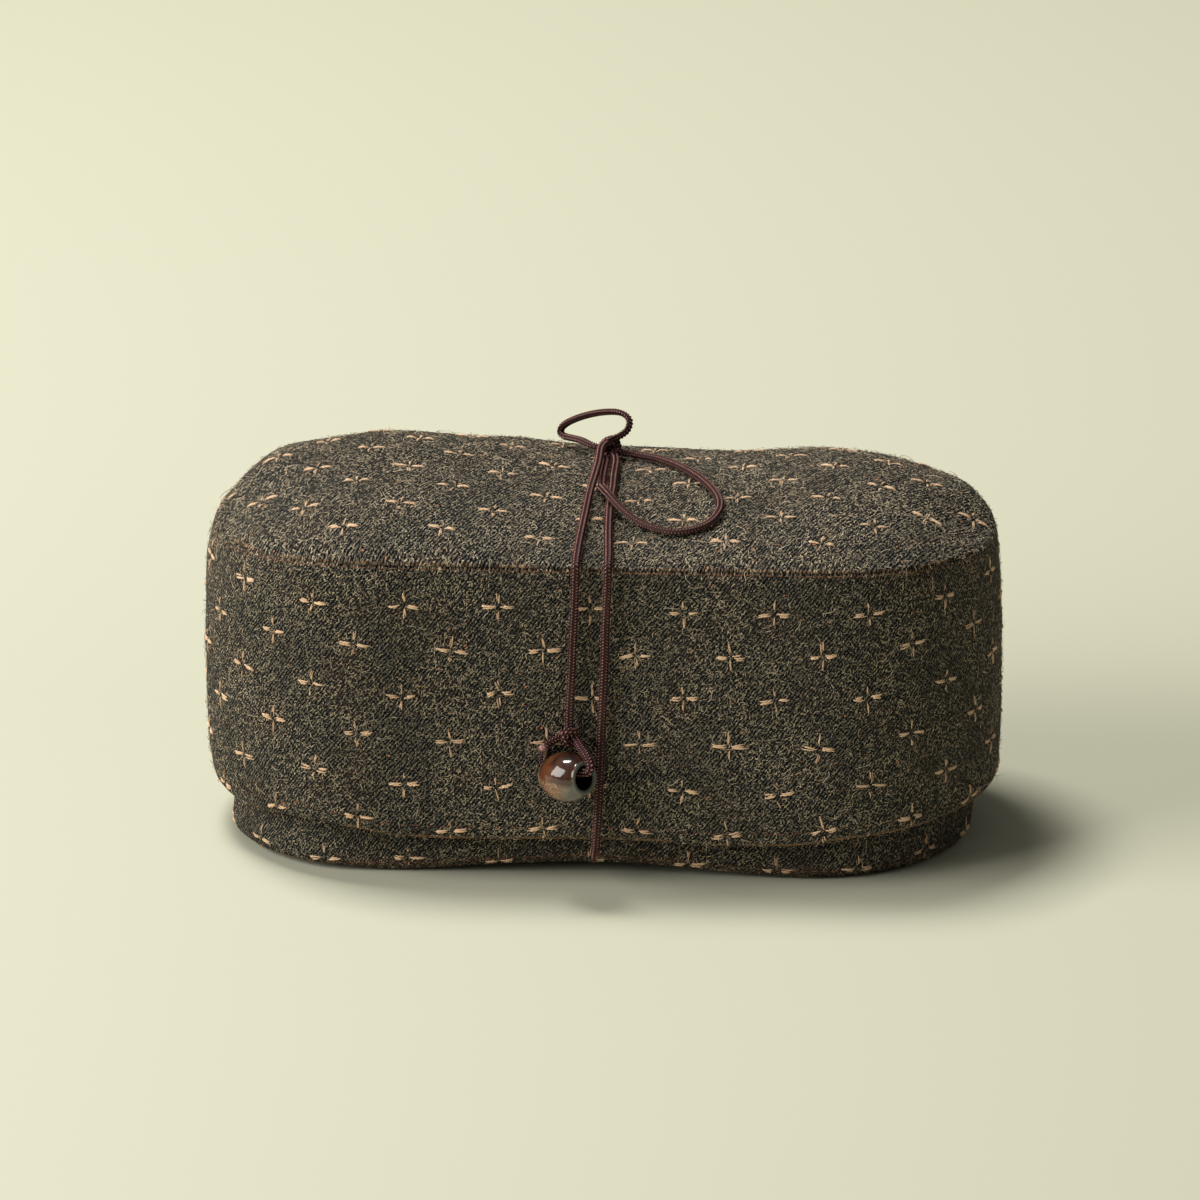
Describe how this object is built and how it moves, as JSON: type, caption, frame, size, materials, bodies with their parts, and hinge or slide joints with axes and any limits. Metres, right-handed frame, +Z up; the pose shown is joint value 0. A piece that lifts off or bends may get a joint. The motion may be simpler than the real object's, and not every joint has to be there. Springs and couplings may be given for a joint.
{
  "type": "tea set storage bag",
  "caption": "Padded oblong cloth case with a deep slip-on lid over a lined tray, tied round with a braided cord that ends in a glazed bead.",
  "frame": {"origin": "on the floor, under the middle of the closed case", "axes": "+X along the length of the case, -Y its front with the hanging bead, +Z up"},
  "size_m": [0.24, 0.1422, 0.1189],
  "materials": {
    "outer_cloth": "coarse heathered wool-linen weave, charcoal brown, matt",
    "lining": "plain weave cotton, matt",
    "foam": "soft padding",
    "board": "stiff greyboard",
    "piping": "rust-brown twisted edge",
    "cord": "braided waxed cord, dark maroon brown, soft sheen",
    "bead_glaze": "glossy dark reddish-brown glaze"
  },
  "bodies": {
    "base": {"base_bottom_panel": "outer_cloth", "base_bottom_pad": "foam", "base_bottom_board": "board", "base_floor_lining": "lining", "base_side_band": "outer_cloth", "base_wall_pad": "foam", "base_wall_lining": "lining", "base_rim_binding": "outer_cloth", "base_piping": "piping", "divider_left_pad": "foam", "divider_left_cover": "lining", "divider_right_pad": "foam", "divider_right_cover": "lining", "cord_under_run": "cord"},
    "lid": {"lid_top_panel": "outer_cloth", "lid_top_pad": "foam", "lid_top_lining": "lining", "lid_skirt_band": "outer_cloth", "lid_skirt_pad": "foam", "lid_skirt_lining": "lining", "lid_hem": "outer_cloth", "cord_front_run": "cord", "cord_back_run": "cord", "bow_knot": "cord", "bow_loop_right": "cord", "bow_loop_left": "cord", "cord_tail_top": "cord"},
    "tail_bend": {"cord_tail_bend": "cord"},
    "tail": {"cord_tail_strand": "cord", "tail_knot": "cord", "bead_loop": "cord", "cord_tail_end": "cord"},
    "bead": {"bead": "bead_glaze"}
  },
  "joints": [
    {"name": "lid_lift", "type": "slide", "parent": "base", "child": "lid", "axis": [0, 0, 1], "range_m": [0, 0.15]},
    {"name": "tail_lift", "type": "hinge", "parent": "lid", "child": "tail_bend", "pos_m": [-0.0046, -0.0642, 0.09915], "axis": [-1, 0, 0], "range_deg": [0, 90]},
    {"name": "tail_swing", "type": "hinge", "parent": "tail_bend", "child": "tail", "pos_m": [-0.0061, -0.0628, 0.09485], "axis": [0, 1, 0], "range_deg": [0, 35]},
    {"name": "bead_turn", "type": "hinge", "parent": "tail", "child": "bead", "pos_m": [-0.0066, -0.0697, 0.0381], "axis": [0.7544, -0.633, 0.1736], "continuous": true}
  ]
}
